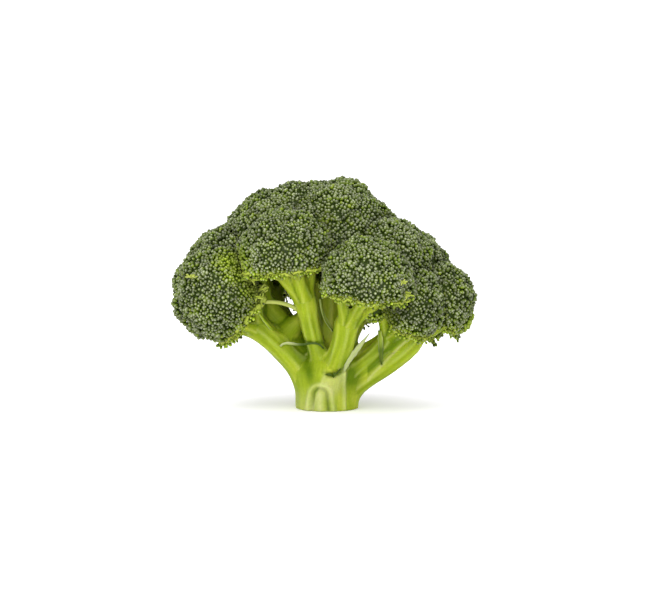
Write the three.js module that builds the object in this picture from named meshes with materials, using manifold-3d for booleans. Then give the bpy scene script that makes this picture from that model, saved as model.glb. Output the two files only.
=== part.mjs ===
// A head of broccoli: a cut stalk that divides into branches, domed florets covered in flower buds,
// and the scraps of leaf that stay in the forks after trimming.
// Millimetres, +Z up, front towards -Y. The origin is the centre of the stalk's flat cut, on which it stands.

import * as THREE from "three";
import { ConvexGeometry } from "three/addons/geometries/ConvexGeometry.js";
import { mergeVertices } from "three/addons/utils/BufferGeometryUtils.js";
import Module from "manifold-3d";

const wasm = await Module();
wasm.setup();

// Driving dimensions
const STALK_RADIUS = 17.4; // at the cut
const CROWN_FOCUS = new THREE.Vector3(0, 0, 20); // every floret faces away from this point
const GAP = 0.3; // clearance between neighbouring pieces
const GOLDEN_ANGLE = Math.PI * (3 - Math.sqrt(5));

// Flower buds, about three times life size
const BUD_PITCH = 6.7;
const BUD_RISE = 0.8; // a bud's tip above the floret's surface
const BUD_DIP = 0.7; // the hollow between buds below it
const HIDDEN_STEP = 5; // hidden faces keep one point in this many

// Low lobes of a floret, with lengths as shares of the floret's radius
const LOBES = 24; // on a whole sphere
const LOBE_SEAT = 0.55; // from the floret's centre to a lobe's
const LOBE_RADIUS = 0.47;
const LOBE_VALLEY = 0.93; // the surface between lobes

// Branches, with lengths as shares of the stalk's or the floret's radius
const BRANCH_SEAT = 0.55; // from the stalk's axis to a branch's root
const BRANCH_START = 4; // height of the root, in millimetres
const BRANCH_SPLAY = 4; // how far a branch moves out while it climbs, in millimetres
const BRANCH_REACH = 0.35; // how much of its length runs straight at the floret
const BRANCH_TAPER = 0.85; // thickness at the root, as a share of that at the fork
const FORK_END = 0.4; // thickness at the very end of a branch, between its branchlets
const FORK_SETBACK = 0.5; // from the floret's underside down to the fork
const TWIG_RADIUS = 3; // in millimetres
const TWIG_START = 0.1; // from the fork back into the branch
const TWIG_DEPTH = 0.25; // between a branchlet's end and the floret's underside

// Each floret's dome: its centre, its radius, how far behind the centre its underside lies as a share of
// the radius, and how much of its full lean away from the crown's middle it has. Its branch: how thick it is
// at the fork, how high it climbs before it turns out, as a share of the fork's height, how far the fork is
// shifted off the dome's axis, how many branchlets it has, and how far they end from the floret's axis, as a
// share of the radius.
const FLORETS = [
  { name: "top", at: [3, 6, 87], radius: 40, under: 0.2, branch: 9, twigs: 5 },
  { name: "upper_left", at: [-26, 3, 92], radius: 30, under: 0.4, branch: 6.5, shift: [8, 0, 0] },
  { name: "upper_right", at: [31, -12, 79], radius: 28, under: 0.35, branch: 6 },
  {
    name: "front_left", at: [-21, -25, 84], radius: 28, under: 0.08, lean: 0.35,
    branch: 5.5, twigs: 5, shift: [8.2, 3, -9], spread: 0.4,
  },
  {
    name: "front_right", at: [21, -43, 71], radius: 26, under: 0.1, lean: 0.25,
    branch: 6.5, twigs: 5, shift: [-9, 15, -8],
  },
  {
    name: "right_front", at: [43, -27, 59], radius: 22, under: 0.5, lean: 0.4,
    branch: 5, shift: [-1, 4, 2.3],
  },
  { name: "right_upper", at: [44, 2, 79], radius: 24, under: 0.3, branch: 5.5, shift: [-13, 5, 0] },
  {
    name: "right_low", at: [58, -10, 59.5], radius: 23.5, under: 0.25, lean: 0.6,
    branch: 7, climb: 0.1, twigs: 5, shift: [-2, -2, -10],
  },
  { name: "left_upper", at: [-52, 2, 76], radius: 27, under: 0.55, branch: 7 },
  {
    name: "left_low", at: [-57, -15, 64.5], radius: 27.5, under: 0.55,
    branch: 6.5, climb: 0.33, twigs: 5, shift: [-3, -2, -2],
  },
  { name: "back_left", at: [-32, 40, 76], radius: 30, under: 0.2, branch: 6.5, shift: [-9, 0, -2] },
  { name: "back_right", at: [28, 42, 75], radius: 30, under: 0.2, branch: 6.5 },
  { name: "back_low", at: [6, 54, 59], radius: 25, under: 0.3, branch: 6.5 },
  { name: "back_left_low", at: [-52, 32, 57], radius: 24, under: 0.3, branch: 5.5 },
  {
    name: "back_right_low", at: [54, 28, 59], radius: 24, under: 0.3,
    branch: 5.5, climb: 0.15, shift: [0, 0, -9],
  },
].map((floret) => {
  const { lean = 1, climb = 0.4, twigs = 4, shift = [0, 0, 0], spread = 0.56 } = floret;
  const centre = new THREE.Vector3(...floret.at);
  const axis = centre.clone().sub(CROWN_FOCUS).multiply(new THREE.Vector3(lean, lean, 1)).normalize();
  return { ...floret, centre, axis, climb, twigs, spread, shift: new THREE.Vector3(...shift) };
});

// The undivided foot of the stalk, as radius and height, which flares where the branches part.
const FOOT_PROFILE = [
  [STALK_RADIUS, 0],
  [STALK_RADIUS - 0.2, 9],
  [STALK_RADIUS + 0.8, 15],
  [STALK_RADIUS + 2.2, 21],
  [STALK_RADIUS + 0.6, 27],
  [STALK_RADIUS - 5.4, 32],
];
const FOOT_HEIGHT = 34;

// Facets round a round piece, and rings along it
const FOOT_SIDES = 20;
const BRANCH_SIDES = 7;
const BRANCH_RINGS = 5;
const TWIG_SIDES = 5;
const TWIG_RINGS = 1;

// Each scrap of leaf: where it is rooted in the stalk, its tip, which way its width runs, its width,
// and how far it bows out of its plane.
const LEAVES = [
  { name: "front", root: [13, -12, 22], tip: [23.5, -25, 43], across: [0.6, 0.8, 0], width: 6, curl: 2 },
  {
    name: "left_fork", root: [-12, -13, 33], tip: [-14, -25, 35.5],
    across: [1, 0.2, 0.1], width: 19, curl: 2,
  },
  { name: "front_fork", root: [4, -14, 19], tip: [4, -22, 18], across: [1, 0, 0], width: 12, curl: 2 },
  { name: "middle", root: [2, -15, 42], tip: [-4, -20, 62], across: [0.4, 1, 0], width: 5, curl: -2 },
  { name: "right", root: [28, -13, 26.4], tip: [28, -21, 44], across: [0.7, 0.7, 0], width: 6, curl: 2 },
  { name: "left", root: [-27, -12, 43], tip: [-38, -22, 56], across: [0.5, 0.8, 0.2], width: 6, curl: 2 },
  { name: "back", root: [8, 16, 20], tip: [14, 29, 40], across: [1, -0.4, 0], width: 9, curl: -3 },
];
const LEAF_THICKNESS = 0.8;
const LEAF_SLOT = 0.45; // clearance round a blade where it passes through the stalk
const LEAF_TIP = 0.12; // width at the tip, as a share of the full width
const LEAF_ROOT = 0.3; // where along its swelling outline a blade is cut off at its root
const LEAF_CELLS = 5; // along a blade
const LEAF_CUP = 0.4; // how far the edges bend back, as a share of the curl

const MATERIALS = {
  stalk: new THREE.MeshStandardMaterial({ color: 0x9dbb3a, roughness: 0.5, metalness: 0 }),
  floret: new THREE.MeshStandardMaterial({ color: 0x4a6237, roughness: 0.75, metalness: 0 }),
  leaf: new THREE.MeshStandardMaterial({ color: 0xa9c06a, roughness: 0.6, metalness: 0 }),
};

// The nth of count directions spread evenly over a sphere by the golden angle.
function spiralDirection(n, count, phase = 0) {
  const height = 1 - (2 * n + 1) / count;
  const ring = Math.sqrt(1 - height * height);
  const turn = n * GOLDEN_ANGLE + phase;
  return new THREE.Vector3(ring * Math.cos(turn), ring * Math.sin(turn), height);
}

// Distance from a floret's centre to its lobed dome along a unit direction.
function domeRadius(floret, direction) {
  let reach = LOBE_VALLEY;
  for (const lobe of floret.lobes) {
    const along = LOBE_SEAT * lobe.dot(direction);
    const beside = LOBE_SEAT * LOBE_SEAT - along * along;
    if (along > 0 && beside < LOBE_RADIUS * LOBE_RADIUS)
      reach = Math.max(reach, along + Math.sqrt(LOBE_RADIUS * LOBE_RADIUS - beside));
  }
  return reach * floret.radius;
}

// Distance to what bounds the floret before its dome: its underside, or the plane shared with a neighbour.
function limitRadius(floret, direction) {
  let limit = Infinity;
  for (const { normal, distance } of floret.walls) {
    const facing = normal.dot(direction);
    if (facing > 0) limit = Math.min(limit, distance / facing);
  }
  return limit;
}

for (const [index, floret] of FLORETS.entries()) {
  floret.lobes = Array.from({ length: LOBES }, (_, n) => spiralDirection(n, LOBES, index));
  const underside = { normal: floret.axis.clone().negate(), distance: floret.under * floret.radius };
  floret.walls = [underside];
  for (const other of FLORETS) {
    if (other === floret) continue;
    const apart = other.centre.clone().sub(floret.centre);
    const span = apart.length();
    if (span > 1.2 * (floret.radius + other.radius)) continue;
    const shared = (span ** 2 + floret.radius ** 2 - other.radius ** 2) / (2 * span);
    floret.walls.push({ normal: apart.divideScalar(span), distance: shared - GAP / 2 });
  }
}

// A closed geometry as a manifold-3d solid.
function solidOf(geometry) {
  const bare = new THREE.BufferGeometry().setAttribute("position", geometry.getAttribute("position"));
  bare.setIndex(geometry.index);
  const merged = mergeVertices(bare, 1e-4);
  return new wasm.Manifold(
    new wasm.Mesh({
      numProp: 3,
      vertProperties: merged.attributes.position.array,
      triVerts: new Uint32Array(merged.index.array),
    }),
  );
}

function geometryOf(solid) {
  const mesh = solid.getMesh();
  const geometry = new THREE.BufferGeometry();
  geometry.setAttribute("position", new THREE.BufferAttribute(mesh.vertProperties, mesh.numProp));
  geometry.setIndex(new THREE.BufferAttribute(mesh.triVerts, 1));
  geometry.computeVertexNormals();
  return geometry;
}

function largestBody(solid) {
  return solid.decompose().reduce((a, b) => (b.volume() > a.volume() ? b : a));
}

// A floret: an evenly triangulated sphere drawn in to the floret's form.
// Each vertex of the exposed dome is a bud.
function floretGeometry(floret) {
  const exposed = (d) => domeRadius(floret, d) < limitRadius(floret, d);
  const count = Math.round((4 * Math.PI * floret.radius ** 2) / (BUD_PITCH ** 2 * Math.sin(Math.PI / 3)));
  const seeds = [];
  for (let n = 0; n < count; n++) {
    const direction = spiralDirection(n, count, 0.5);
    if (exposed(direction) || n % HIDDEN_STEP === 0) seeds.push(direction);
  }
  const hull = new ConvexGeometry(seeds);
  hull.deleteAttribute("normal");
  const sphere = mergeVertices(hull, 1e-6);
  const corners = sphere.index.array;
  const directions = [];
  const rises = [];
  for (let n = 0; n < sphere.attributes.position.count; n++) {
    const direction = new THREE.Vector3().fromBufferAttribute(sphere.attributes.position, n).normalize();
    directions.push(direction);
    rises.push(exposed(direction) ? BUD_RISE : 0);
  }

  // A dip in the middle of every triangle that touches a bud
  const centreOf = new Map();
  const faceAcross = new Map();
  for (let t = 0; t < corners.length; t += 3) {
    const face = [corners[t], corners[t + 1], corners[t + 2]];
    face.forEach((a, k) => faceAcross.set(`${a},${face[(k + 1) % 3]}`, t));
    if (!face.some((n) => rises[n] > 0)) continue;
    const middle = new THREE.Vector3();
    face.forEach((n) => middle.add(directions[n]));
    centreOf.set(t, directions.length);
    directions.push(middle.normalize());
    rises.push(exposed(middle) ? -BUD_DIP : 0);
  }

  // Edges between two dips replace the edges between two buds, so that each bud is a small pyramid
  const triangles = [];
  for (const [edge, t] of faceAcross) {
    const [a, b] = edge.split(",").map(Number);
    const here = centreOf.get(t);
    const there = centreOf.get(faceAcross.get(`${b},${a}`));
    if (here !== undefined && there !== undefined) triangles.push(a, there, here);
    else if (here !== undefined) triangles.push(a, b, here);
  }
  for (let t = 0; t < corners.length; t += 3)
    if (!centreOf.has(t)) triangles.push(corners[t], corners[t + 1], corners[t + 2]);

  const positions = directions.flatMap((direction, n) => {
    const reach = Math.min(domeRadius(floret, direction) + rises[n], limitRadius(floret, direction));
    return direction.clone().multiplyScalar(reach).add(floret.centre).toArray();
  });
  const geometry = new THREE.BufferGeometry();
  geometry.setAttribute("position", new THREE.Float32BufferAttribute(positions, 3));
  geometry.setIndex(triangles);
  return geometry;
}

// A tapered tube along a curve: a closed cylinder with its rings moved onto the curve.
// swell is added all round and past the far end, to cut a socket that the plain tube fits.
function tubeSolid(curve, radiusAt, sides, rings, swell = 0) {
  const geometry = new THREE.CylinderGeometry(1, 1, 1, sides, rings);
  const frames = curve.computeFrenetFrames(rings, false);
  const points = curve.getSpacedPoints(rings);
  const position = geometry.getAttribute("position");
  for (let n = 0; n < position.count; n++) {
    const ring = Math.round((0.5 - position.getY(n)) * rings);
    const radius = radiusAt(ring / rings) + swell / Math.cos(Math.PI / sides);
    const place = points[ring].clone();
    place.addScaledVector(frames.normals[ring], position.getX(n) * radius);
    place.addScaledVector(frames.binormals[ring], position.getZ(n) * radius);
    if (ring === rings) place.addScaledVector(frames.tangents[ring], swell);
    position.setXYZ(n, place.x, place.y, place.z);
  }
  const solid = solidOf(geometry);
  if (solid.volume() > 0) return solid;
  geometry.index.array.reverse();
  return solidOf(geometry);
}

// Where a floret's branch divides, below its underside.
function forkOf(floret) {
  const below = (floret.under + FORK_SETBACK) * floret.radius;
  return floret.centre.clone().addScaledVector(floret.axis, -below).add(floret.shift);
}

// The branch of one floret, from inside the stalk to the fork below the floret.
function branchCurve(floret) {
  const out = new THREE.Vector3(floret.axis.x, floret.axis.y, 0);
  const root = out.clone().multiplyScalar(BRANCH_SEAT * STALK_RADIUS).setZ(BRANCH_START);
  const fork = forkOf(floret);
  const rise = root.clone().addScaledVector(out, BRANCH_SPLAY).setZ(root.z + floret.climb * fork.z);
  const reach = fork.clone().addScaledVector(floret.axis, -BRANCH_REACH * fork.distanceTo(root));
  return new THREE.CubicBezierCurve3(root, rise, reach, fork);
}

// The branchlets of one floret, which fan out of its fork and end inside its dome.
function twigCurves(floret) {
  const side = new THREE.Vector3(0, 0, 1).cross(floret.axis).normalize();
  const across = floret.axis.clone().cross(side);
  const start = forkOf(floret).addScaledVector(floret.axis, -TWIG_START * floret.radius);
  return Array.from({ length: floret.twigs }, (_, n) => {
    const turn = ((n + 0.5) / floret.twigs) * 2 * Math.PI;
    const outward = side.clone().multiplyScalar(Math.cos(turn)).addScaledVector(across, Math.sin(turn));
    const end = floret.centre.clone();
    end.addScaledVector(floret.axis, (TWIG_DEPTH - floret.under) * floret.radius);
    end.addScaledVector(outward, floret.spread * floret.radius);
    return new THREE.LineCurve3(start, end);
  });
}

// A scrap of leaf: a box of small cells moved onto a bent, tapering blade.
function leafSolid(leaf, swell = 0) {
  const geometry = new THREE.BoxGeometry(1, 1, 1, 2, 1, LEAF_CELLS);
  const start = new THREE.Vector3(...leaf.root);
  const tip = new THREE.Vector3(...leaf.tip);
  const run = tip.clone().sub(start);
  const across = new THREE.Vector3(...leaf.across);
  across.addScaledVector(run, -across.dot(run) / run.lengthSq()).normalize();
  const face = run.clone().cross(across).normalize();
  const position = geometry.getAttribute("position");
  for (let n = 0; n < position.count; n++) {
    const along = position.getZ(n) + 0.5;
    const outline = Math.sin(Math.PI * THREE.MathUtils.lerp(LEAF_ROOT, 1, along));
    const taper = THREE.MathUtils.lerp(LEAF_TIP, 1, outline);
    const sideways = position.getX(n) * (leaf.width * taper + 2 * swell);
    const bend = leaf.curl * (Math.sin(Math.PI * along) - LEAF_CUP * (2 * position.getX(n)) ** 2);
    const place = start.clone().addScaledVector(run, along);
    if (along === 0 || along === 1) place.addScaledVector(run, (swell * (2 * along - 1)) / run.length());
    place.addScaledVector(across, sideways);
    place.addScaledVector(face, bend + position.getY(n) * (LEAF_THICKNESS + 2 * swell));
    position.setXYZ(n, place.x, place.y, place.z);
  }
  const solid = solidOf(geometry);
  if (solid.volume() > 0) return solid;
  geometry.index.array.reverse();
  return solidOf(geometry);
}

// The foot, turned on the stalk's axis.
function footSolid(swell) {
  const outline = FOOT_PROFILE.map(([radius, height]) => new THREE.Vector2(radius + swell, height));
  outline.unshift(new THREE.Vector2(0, 0));
  outline.push(new THREE.Vector2(0, FOOT_HEIGHT + swell));
  return solidOf(new THREE.LatheGeometry(outline, FOOT_SIDES).rotateX(Math.PI / 2));
}

// Stalk, branches and branchlets as one solid, or, with swell, the space that they need in the florets.
function stalkSolid(swell = 0) {
  let stalk = footSolid(swell);
  for (const floret of FLORETS) {
    const thickness = (t) => floret.branch * (t < 1 ? THREE.MathUtils.lerp(BRANCH_TAPER, 1, t) : FORK_END);
    stalk = stalk.add(tubeSolid(branchCurve(floret), thickness, BRANCH_SIDES, BRANCH_RINGS, swell));
    for (const curve of twigCurves(floret))
      stalk = stalk.add(tubeSolid(curve, () => TWIG_RADIUS, TWIG_SIDES, TWIG_RINGS, swell));
  }
  return stalk;
}

const root = new THREE.Group();
function addNode(name, solid, material) {
  const mesh = new THREE.Mesh(geometryOf(solid), material);
  mesh.name = name;
  root.add(mesh);
}

let stalk = stalkSolid();
for (const leaf of LEAVES) {
  addNode(`leaf_${leaf.name}`, leafSolid(leaf), MATERIALS.leaf);
  stalk = stalk.subtract(leafSolid(leaf, LEAF_SLOT));
}
addNode("stalk", largestBody(stalk), MATERIALS.stalk);
const sockets = stalkSolid(GAP);
for (const floret of FLORETS) {
  const dome = solidOf(floretGeometry(floret));
  addNode(`floret_${floret.name}`, largestBody(dome.subtract(sockets)), MATERIALS.floret);
}

export default root;
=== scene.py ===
# A head of broccoli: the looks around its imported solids.
# Lengths are millimetres until a mesh is made, which is in metres.

import math
from dataclasses import dataclass

import bmesh
import bpy
import numpy as np
import openvdb
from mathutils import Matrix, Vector, noise


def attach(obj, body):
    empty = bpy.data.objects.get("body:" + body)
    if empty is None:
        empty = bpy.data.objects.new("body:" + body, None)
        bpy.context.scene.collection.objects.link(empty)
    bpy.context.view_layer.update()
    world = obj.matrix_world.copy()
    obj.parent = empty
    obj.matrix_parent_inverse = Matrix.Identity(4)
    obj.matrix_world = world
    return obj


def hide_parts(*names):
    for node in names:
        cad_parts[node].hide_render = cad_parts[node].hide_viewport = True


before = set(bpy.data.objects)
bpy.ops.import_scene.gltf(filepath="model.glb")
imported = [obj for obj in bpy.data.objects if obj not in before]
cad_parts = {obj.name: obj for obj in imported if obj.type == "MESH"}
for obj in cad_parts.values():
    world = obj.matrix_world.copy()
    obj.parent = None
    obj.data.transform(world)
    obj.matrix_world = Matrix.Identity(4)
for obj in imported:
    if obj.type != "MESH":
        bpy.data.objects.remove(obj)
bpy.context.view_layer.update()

MM = 0.001
TURN = 2 * math.pi
GOLDEN_ANGLE = math.pi * (3 - math.sqrt(5))

# The form that the solids have
STALK_RADIUS = 17.4
CROWN_FOCUS = np.array([0.0, 0.0, 20.0])  # where the florets' axes come from
GAP = 0.3  # between two florets
NEIGHBOUR_SPAN = 1.2  # how near domes share a plane, in sums of their radii
LOBES = 24  # round a whole dome
LOBE_SEAT = 0.55  # a lobe's middle, its radius and the valleys, in radii of the dome
LOBE_RADIUS = 0.47
LOBE_VALLEY = 0.93
BRANCH_SEAT = 0.55  # how far out a branch starts, in radii of the stalk
BRANCH_START = 4  # and how high
BRANCH_SPLAY = 4
BRANCH_REACH = 0.35  # where it turns towards the floret, in lengths before its fork
BRANCH_TAPER = 0.85
FORK_SETBACK = 0.5  # from the underside down to the fork, in radii of the dome
TWIG_RADIUS = 3
TWIG_DEPTH = 0.25
# The foot's profile
FOOT_RADII = [STALK_RADIUS + more for more in (0, -0.2, 0.8, 1.6, -1.4, -8)] + [0]
FOOT_HEIGHTS = [0, 9, 15, 21, 26, 31, 37]

# Buds at life size
BUD_PITCH = 1.85
BUD_RADIUS = 0.96
BUD_JITTER = 0.42
BUD_SINK = 1.5  # a bud's middle below the floret's surface
BUD_LIFT = 0.14  # how unevenly single buds stand out
BUD_TILT = 0.16
CLUSTER_PITCH = 7.5  # of the little clusters that the buds sit in
CLUSTER_JITTER = 1.2
CLUSTER_HALF = 0.55  # half a cluster's width, in pitches
CLUSTER_RISE = 1.2
CLUSTER_DIP = 0.8  # the deepest place between clusters, in rises
CLUSTER_LIFT = 0.2  # how unevenly whole clusters stand out
CLUSTER_FAN = 0.8  # how far the buds of a cluster lean apart
CORE_SINK = 2.6  # the surface of the body, painted dark as shade between the buds, below the floret's
CORE_CLEARANCE = 1.2  # and above the underside
RIM_WRAP = 0.95  # how far the buds turn in under the rim
RIM_ROUND = 4
RIM_SLACK = 1.5  # a rim still shows this far past a shared plane
RIM_FADE = 5  # how far from the rim buds are yellower
RIM_STEP = 1.4  # of the hanging buds
WALL_DEPTH = 10  # how far buds go down between florets
WALL_ROUND = 3
VALLEY_FADE = 2.5  # how far from a shared plane buds are painted yellower, as a tint of shade
SEAM_FADE = 3.5  # and painted darker, as shade

# Fine stems
STEM_PITCH = 4.4  # of the stems on the underside
STEM_FIELD = 0.92  # how much of the underside they fill
BAND_STEP = 2  # along the fleshy band on a rim
BAND_SCATTER = 0.8
FRINGE_STEP = 2.6  # of the stems that end at a rim
HANGING_RADIUS = 0.42
TUFT_STEMS = 9

# The stalk's surface
CELL = 1.0
BLEND = 5  # how softly branches flow into each other
CROSS_WEB = 2  # how softly the short joining stems do
MARGIN = 9  # round a shape where it is blended in
BLOCK_FLOOR = -4  # the lowest cells
FOOT_TOP = 44  # where the foot's profile ends
RIB_HEIGHT = 0.6
CREASE_WIDTH = 1.0
SCAR_X = -3.6  # the leaf scar on the foot: arches round a tongue
ARCH_SPRING = 9  # where its arches start to bend in
ARCH_RIDGE = 5.9  # half the width of the raised arch and of the groove in it
ARCH_GROOVE = 3.7
SEAM_X = 9.2
SHEATH_X = 4.0  # the pale skin below the front fork
SHEATH_Z = 19.5
SHEATH_WIDTH = 7.5
SHEATH_SKEW = 0.35
SHELF_Z = 37.6  # the painted shadow line in the left fork
FACET = (-25, 47)  # x and z of a side in the left fork painted deep green as shade
FACET_SIZE = 13
EDGE = (29, 24.5)  # x and z of the lower end of the right branch's painted highlight edge, with painted shadow beside it
EDGE_LEAN = 0.91

YELLOW_PATCHES = [
    (-52, -34, 84), (-46, -36, 77), (-40, -34, 70), (80, -14, 45), (64, -22, 40), (35, -34, 47),
]
YELLOW_PATCH_SIZE = 7

# Points near the bare tufts among a floret's buds
TUFTS = {
    "left_low": [(-71, -33, 74), (-42, -32, 72), (-33, -28, 68), (-36, -31, 63)],
    "front_right": [(40, -60, 74), (43, -56, 66)],
    "upper_right": [(7, -30, 95)],
}

# Short stems that join branches and foot, each with its path and end radii
CROSS_STEMS = [
    ([(11, -9, 32), (18, -9, 33.5), (23, -9, 36.5), (29, -9, 40.5)], (1.2, 1.8)),
    ([(36, -18, 37), (41, -22, 41), (44.5, -26, 44.5)], (3.4, 3.8)),
    ([(9, -4, 6), (21, -5, 17.5), (31, -6, 28)], (4.6, 1.6)),
    ([(-22, -5, 42), (-18, -5, 47), (-13, -5, 51)], (5, 4)),
]
STRAY_STEM = [(-42, -24, 58.5), (-33, -27, 62.5), (-22, -24, 61), (-15, -20, 57), (-12.5, -19, 52)]

# Small lobes in the notches between domes, each with its middle and radius
CLUMPS = {
    "top": [((-18, 0, 113), 13), ((30, 0, 101), 10)],
    "upper_left": [((-46, 0, 101), 10)],
    "right_front": [((25, -29, 57), 8)],
}

LIGHT = 1.38  # the strength of the light all round, by which colours are divided

random = np.random.default_rng(11)


def unit(v):
    return v / np.linalg.norm(v, axis=-1, keepdims=True)


def ridge(distance, width):
    """1 where the distance is 0, fading out over the width."""
    return np.exp(-((distance / width) ** 2))


def step(value, start, end):
    """From 0 where the value is at the start to 1 where it is at the end."""
    return np.clip((value - start) / (end - start), 0, 1)


def count_on_sphere(radius, pitch):
    """How many evenly spread places a pitch apart a sphere has."""
    return round(4 * math.pi * radius**2 / (pitch**2 * math.sin(math.pi / 3)))


def smooth_min(a, b, k):
    """The lesser of two distances, rounded over k where they cross."""
    overlap = np.maximum(k - np.abs(a - b), 0) / k
    return np.minimum(a, b) - overlap * overlap * k / 4


def spiral(count, phase=0.0):
    """Unit directions spread evenly over a sphere by the golden angle."""
    n = np.arange(count)
    height = 1 - (2 * n + 1) / count
    ring = np.sqrt(1 - height * height)
    turn = n * GOLDEN_ANGLE + phase
    return np.stack([ring * np.cos(turn), ring * np.sin(turn), height], axis=1)


@dataclass(eq=False)
class Floret:
    """One dome of the crown, with the branch that carries it."""

    name: str
    at: tuple
    radius: float
    under: float  # how far the underside lies below the centre, in radii
    branch: float  # the branch's radius at its fork
    lean: float = 1  # how far the axis leans outwards
    climb: float = 0.4  # how high the branch rises before it bends out, in heights of its fork
    twigs: int = 4
    shift: tuple = (0, 0, 0)  # of the fork
    spread: float = 0.56  # how far the branchlets' ends are from the axis, in radii
    web: float = 4  # how softly the branch and its branchlets join
    ribs: int = 7  # along the branch
    band: float = 0.6  # the radius of the fleshy band along the rim
    hanging: tuple = ()  # the buds below the rim and the feet of their stalklets

    def __post_init__(self):
        self.centre = np.array(self.at, float)
        self.axis = unit((self.centre - CROWN_FOCUS) * [self.lean, self.lean, 1])
        self.side = unit(np.cross([0, 0, 1], self.axis))
        self.across = np.cross(self.axis, self.side)
        setback = (self.under + FORK_SETBACK) * self.radius * self.axis
        self.fork = self.centre - setback + self.shift

    def find_neighbours(self, index):
        """The lobes of the dome and the planes that it shares with other florets."""
        self.lobes = spiral(LOBES, index)
        normals = []
        distances = []
        for other in FLORETS:
            apart = other.centre - self.centre
            span = np.linalg.norm(apart)
            if other is self or span > NEIGHBOUR_SPAN * (self.radius + other.radius):
                continue
            normals.append(apart / span)
            distances.append((span**2 + self.radius**2 - other.radius**2) / (2 * span) - GAP / 2)
        self.normals = np.array(normals)
        self.distances = np.array(distances)

    def dome(self, directions):
        """How far the lobed dome is from the centre."""
        along = LOBE_SEAT * directions @ self.lobes.T
        beside = LOBE_SEAT**2 - along**2
        inside = np.maximum(LOBE_RADIUS**2 - beside, 0)
        reach = np.where((along > 0) & (inside > 0), along + np.sqrt(inside), LOBE_VALLEY)
        return np.maximum(reach.max(axis=1), LOBE_VALLEY) * self.radius

    def neighbours(self, directions):
        """How far the nearest shared plane is from the centre."""
        facing = directions @ self.normals.T
        return np.where(facing > 0, self.distances / np.maximum(facing, 1e-9), np.inf).min(axis=1)

    def holds(self, points):
        """Which points lie in the floret, apart from its shared planes."""
        away = points - self.centre
        near = np.linalg.norm(away, axis=1) < 0.95 * self.radius
        return near & (-away @ self.axis < self.under * self.radius)

    def covered(self, points):
        """Which points another floret hides."""
        return np.any([other.holds(points) for other in FLORETS if other is not self], axis=0)

    def rim(self, pitch):
        """Points along the lower edge of the dome, the way out from each, and which of them show."""
        count = round(TURN * self.radius / pitch)
        turn = TURN * np.arange(count)[:, None] / count
        outward = self.side * np.cos(turn) + self.across * np.sin(turn)
        down = self.under * self.radius
        reach = self.radius
        for _ in range(3):
            places = outward * np.sqrt(reach**2 - down**2) - down * self.axis
            reach = self.dome(unit(places))[:, None]
        free = reach[:, 0] < self.neighbours(unit(places)) + RIM_SLACK
        points = self.centre + places
        return points, outward, free & ~self.covered(points)

    def underside(self, directions):
        """How far the underside is from the centre."""
        facing = -directions @ self.axis
        return np.where(facing > 0, self.under * self.radius / np.maximum(facing, 1e-9), 1e3)


FLORETS = [
    Floret("top", (3, 6, 87), 40, 0.2, 9, twigs=5),
    Floret("upper_left", (-26, 3, 92), 30, 0.4, 6.5, shift=(8, 0, 0)),
    Floret("upper_right", (31, -12, 79), 28, 0.35, 6),
    Floret(
        "front_left", (-21, -25, 84), 28, 0.08, 5.5, lean=0.35, twigs=5, shift=(8.2, 3, -9),
        spread=0.44, web=5, band=0.7,
    ),
    Floret("front_right", (21, -43, 71), 26, 0.1, 6.5, lean=0.25, twigs=5, shift=(-9, 15, -8)),
    Floret("right_front", (43, -27, 59), 22, 0.4, 5, lean=0.4, shift=(-1.8, 4.5, 0.3)),
    Floret("right_upper", (43.5, 2, 76), 24, 0.3, 5.5, shift=(-12.5, 5, 3)),
    Floret(
        "right_low", (58, -10, 59.5), 23.5, 0.17, 7, lean=0.6, climb=0.26, twigs=5,
        shift=(-3.2, -1.8, -11.4),
    ),
    Floret("left_upper", (-52, 2, 75), 27, 0.55, 7, ribs=0),
    Floret(
        "left_low", (-57, -15, 64.5), 27.5, 0.55, 6.5, climb=0.33, twigs=5, shift=(-3, -2, -2),
        band=1.5,
    ),
    Floret("back_left", (-32, 40, 76), 30, 0.2, 6.5, shift=(-9, 0, -2)),
    Floret("back_right", (28, 42, 75), 30, 0.2, 6.5),
    Floret("back_low", (6, 54, 59), 25, 0.3, 6.5),
    Floret("back_left_low", (-52, 32, 57), 24, 0.3, 5.5),
    Floret("back_right_low", (54, 28, 59), 24, 0.3, 5.5, climb=0.15, shift=(0, 0, -9)),
]
for index, floret in enumerate(FLORETS):
    floret.find_neighbours(index)


def put(name, data):
    """A new object in the scene."""
    thing = bpy.data.objects.new(name, data)
    bpy.context.scene.collection.objects.link(thing)
    return thing


def mesh_object(name, points, faces, material, colours=(), vectors=()):
    """A smooth piece from points in millimetres and arrays of faces, with painted attributes."""
    mesh = bpy.data.meshes.new(name)
    sizes = np.concatenate([np.full(len(f), f.shape[1]) for f in faces])
    corners = np.concatenate([f.ravel() for f in faces])
    mesh.vertices.add(len(points))
    mesh.vertices.foreach_set("co", (points * MM).astype(np.float32).ravel())
    mesh.loops.add(len(corners))
    mesh.loops.foreach_set("vertex_index", corners.astype(np.int32))
    mesh.polygons.add(len(sizes))
    starts = np.cumsum(sizes) - sizes
    mesh.polygons.foreach_set("loop_start", starts.astype(np.int32))
    mesh.update(calc_edges=True)
    mesh.validate()
    mesh.polygons.foreach_set("use_smooth", np.ones(len(mesh.polygons), bool))
    for key, values in dict(colours).items():
        paint = np.column_stack([values, np.ones(len(values))]).astype(np.float32)
        mesh.attributes.new(key, "FLOAT_COLOR", "POINT").data.foreach_set("color", paint.ravel())
    for key, values in dict(vectors).items():
        attribute = mesh.attributes.new(key, "FLOAT_VECTOR", "POINT")
        attribute.data.foreach_set("vector", values.astype(np.float32).ravel())
    mesh.materials.append(material)
    piece = put(name, mesh)
    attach(piece, "root")
    return piece


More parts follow.
